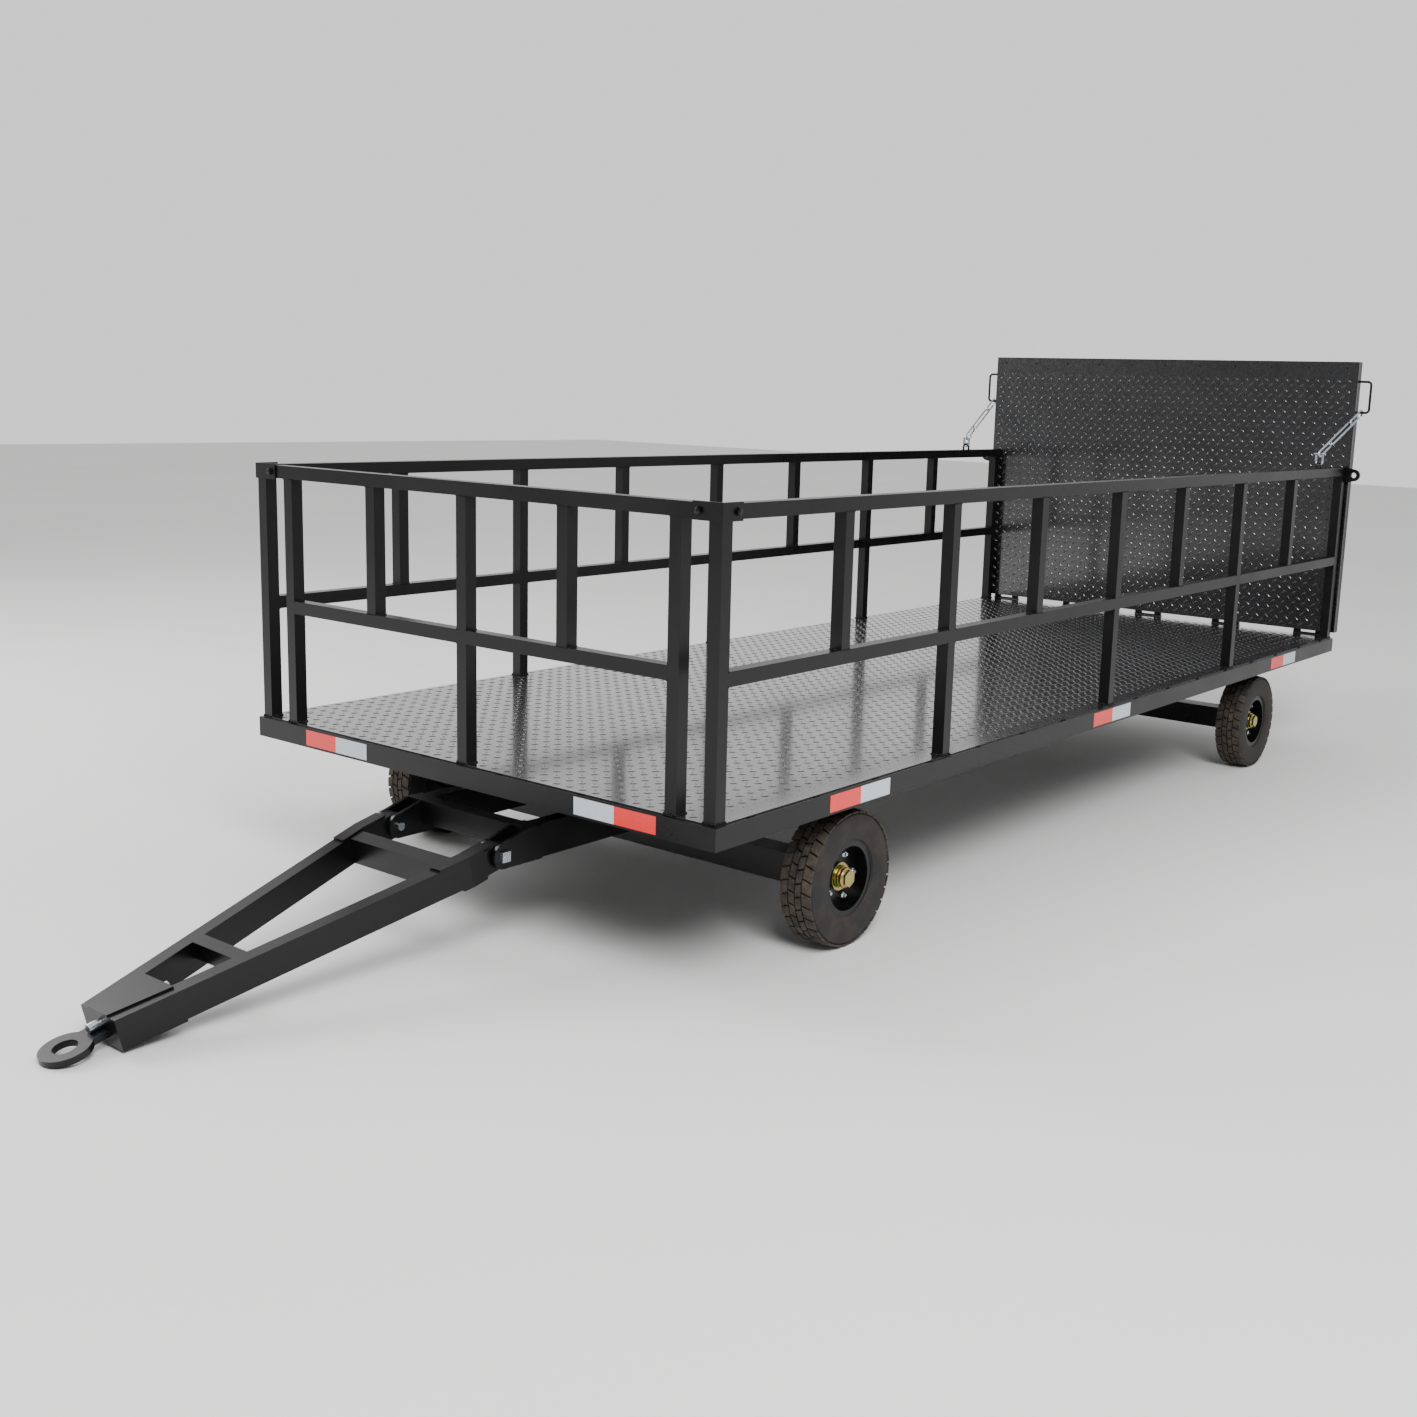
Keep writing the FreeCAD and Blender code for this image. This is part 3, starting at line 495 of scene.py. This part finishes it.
def makeCarcass(bm, middle, radius, halfWidth, bead):
    # half a section runs from bead to bead, and is spun about the axle
    base = radius - tyreShape["grooveMm"] * mm
    section = [(-0.76, bead), (-0.93, bead + 0.006), (-1.0, bead + 0.03), (-1.0, base - 0.022),
               (-0.97, base - 0.006), (-0.86, base), (0.0, base), (0.86, base), (0.97, base - 0.006),
               (1.0, base - 0.022), (1.0, bead + 0.03), (0.93, bead + 0.006), (0.76, bead)]
    verts = [bm.verts.new(middle + Vector((across * halfWidth, 0, height))) for across, height in section]
    edges = [bm.edges.new(pair) for pair in zip(verts, verts[1:])]
    bmesh.ops.spin(bm, geom=verts + edges, cent=middle, axis=(1, 0, 0), angle=2 * math.pi,
                   steps=tyreShape["segments"], use_merge=True)
    bmesh.ops.remove_doubles(bm, verts=bm.verts, dist=1e-6)


def buildBlock(bm):
    # a unit block, cut in three along y so that it can follow the tyre's curve
    made = bmesh.ops.create_cube(bm, size=1)
    edges = {edge for vert in made["verts"] for edge in vert.link_edges}
    lengthways = [edge for edge in edges if abs(edge.verts[0].co.y - edge.verts[1].co.y) > 0.5]
    bmesh.ops.subdivide_edges(bm, edges=lengthways, cuts=2, use_grid_fill=True)


treadBlock = shapeOf(buildBlock)


def makeTread(bm, middle, radius):
    # each block is slanted, wrapped round the tyre, and rounded off at the shoulder
    groove = tyreShape["grooveMm"] * mm
    turn = 2 * math.pi / tyreShape["rows"]
    length = turn * radius - tyreShape["gapMm"] * mm
    shoulder = tyreShape["shoulderMm"] * mm
    for band, (inner, outer, slant) in enumerate(tyreShape["bands"]):
        for row in range(tyreShape["rows"]):
            phase = turn * (row + 0.5 * (band % 2))

            def wrap(point):
                x = ((inner + outer) / 2 + point.x * (outer - inner)) * mm
                angle = phase + (point.y * length + slant * mm * (point.x + 0.5)) / radius
                height = radius + groove * (point.z - 0.5) * 1.1
                if abs(x) > shoulder and point.z > 0:
                    height -= tyreShape["roundMm"] * mm
                return middle + Vector((x, height * math.sin(angle), height * math.cos(angle)))

            stamp(bm, treadBlock, wrap)


def makeWheel(end, side):
    hand = hands[side]
    body = f"wheel_{end}_{hand}"
    low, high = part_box(f"tyre_{end}_{hand}")
    middle = (low + high) / 2
    radius = (high.z - low.z) / 2
    halfWidth = (high.x - low.x) / 2
    bead = (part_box(f"rim_{end}_{hand}")[1].z - middle.z) - 0.004
    bm = bmesh.new()
    makeCarcass(bm, middle, radius, halfWidth, bead)
    carcass = makePiece(bm, f"tyreCarcass_{end}_{hand}", rubber, body, 35)
    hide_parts(f"tyre_{end}_{hand}")
    bm = bmesh.new()
    makeTread(bm, middle, radius)
    makePiece(bm, f"treadBlocks_{end}_{hand}", tread, body)

    hubLow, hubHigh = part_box(f"hub_{end}_{hand}")
    face = side * max(abs(hubLow.x), abs(hubHigh.x))
    out = Vector((side, 0, 0))
    start = Vector((face, middle.y, middle.z))
    bm = bmesh.new()
    collarIn, collarOut = (start - out * depth * mm for depth in hubNut["collarInMm"])
    addRod(bm, hubNut["collarMm"] * mm, collarIn, collarOut, 48)
    addHex(bm, hubNut["acrossMm"] * mm, start, start + out * hubNut["heightMm"] * mm)
    makePiece(bm, f"hubNut_{end}_{hand}", yellowZinc, body, 40)

    disc = side * (abs(middle.x) + halfWidth - wheelNuts["discInMm"] * mm)
    bm = bmesh.new()
    for index in range(wheelNuts["count"]):
        angle = 2 * math.pi * index / wheelNuts["count"] + wheelNuts["firstRad"]
        reach = wheelNuts["pitchRadiusMm"] * mm
        at = Vector((disc, middle.y + reach * math.sin(angle), middle.z + reach * math.cos(angle)))
        addHex(bm, wheelNuts["acrossMm"] * mm, at, at + out * wheelNuts["heightMm"] * mm)
        studLength = (wheelNuts["heightMm"] + wheelNuts["studProudMm"]) * mm
        addRod(bm, wheelNuts["studMm"] * mm, at, at + out * studLength, 16)
    makePiece(bm, f"wheelNuts_{end}_{hand}", brightZinc, body, 40)


for end in ("front", "rear"):
    for side in sides:
        makeWheel(end, side)
print("wheels made")


# ---------- floor, light and camera

studio = {"floorM": 60.0, "floor": "#f4f4f3", "worldStrength": 1.1, "brightWay": (-0.55, 0.75, 0.36),
          "keyWatts": 900.0, "fillWatts": 350.0}
camera = {"placeM": (3.421, -4.7195, 1.602), "azimuthDeg": 37.54, "downDeg": 10.36, "rollDeg": 1.75,
          "lensMm": 40.1, "sensorMm": 36.0, "shiftX": -0.0420, "shiftY": -0.0206}

bm = bmesh.new()
bmesh.ops.create_grid(bm, x_segments=1, y_segments=1, size=studio["floorM"] / 2)
mesh = bpy.data.meshes.new("studioFloor")
bm.to_mesh(mesh)
bm.free()
floor = bpy.data.objects.new("studioFloor", mesh)
bpy.context.scene.collection.objects.link(floor)
floorFinish, floorTree, floorShader, floorPlace = newMaterial("paleStudioFloor", Roughness=0.9)
wash = noise(floorTree, floorPlace, 2500.0, 2.0)
floorStops = [(0.3, hexColour(studio["floor"])), (0.8, hexColour("#efefee"))]
floorTree.links.new(ramp(floorTree, wash, floorStops), floorShader.inputs["Base Color"])
mesh.materials.append(floorFinish)

world = bpy.data.worlds.new("studioWorld")
world.use_nodes = True
# bright behind the trailer and dim behind the camera: tops gleam, and the near faces stay black
worldTree = world.node_tree
direction = addNode(worldTree, "ShaderNodeTexCoord").outputs["Object"]
toward = addNode(worldTree, "ShaderNodeVectorMath", {"operation": "DOT_PRODUCT"}, {0: direction})
toward.inputs[1].default_value = studio["brightWay"]
fullSpan = {"From Min": -1.0, "From Max": 1.0}
share = addNode(worldTree, "ShaderNodeMapRange", fullSpan, {"Value": toward.outputs["Value"]})
glowStops = [(0.1, grey(0.12)), (0.5, grey(0.45)), (0.7, grey(0.95)), (0.9, grey(1.0))]
glow = ramp(worldTree, share.outputs["Result"], glowStops)
background = worldTree.nodes["Background"]
background.inputs["Strength"].default_value = studio["worldStrength"]
worldTree.links.new(glow, background.inputs["Color"])
bpy.context.scene.world = world


def addSoftbox(name, place, target, size, watts):
    light = bpy.data.lights.new(name, "AREA")
    light.shape = "SQUARE"
    light.size = size
    light.energy = watts
    lamp = bpy.data.objects.new(name, light)
    bpy.context.scene.collection.objects.link(lamp)
    lamp.location = place
    lamp.rotation_euler = (Vector(target) - Vector(place)).to_track_quat("-Z", "Y").to_euler()


addSoftbox("keySoftbox", (6, -5, 7), (0, 0, 0.5), 4.0, studio["keyWatts"])
addSoftbox("fillSoftbox", (-6, -3, 5), (0, 0, 0.5), 4.0, studio["fillWatts"])

view = bpy.data.cameras.new("mainCamera")
view.lens = camera["lensMm"]
view.sensor_width = camera["sensorMm"]
view.shift_x = camera["shiftX"]
view.shift_y = camera["shiftY"]
view.clip_end = 200
eye = bpy.data.objects.new("mainCamera", view)
bpy.context.scene.collection.objects.link(eye)
eye.location = camera["placeM"]
level = Euler((math.radians(90 - camera["downDeg"]), 0, math.radians(camera["azimuthDeg"])))
eye.rotation_euler = (level.to_matrix() @ Matrix.Rotation(math.radians(camera["rollDeg"]), 3, "Z")).to_euler()
bpy.context.scene.camera = eye
print("stage set")
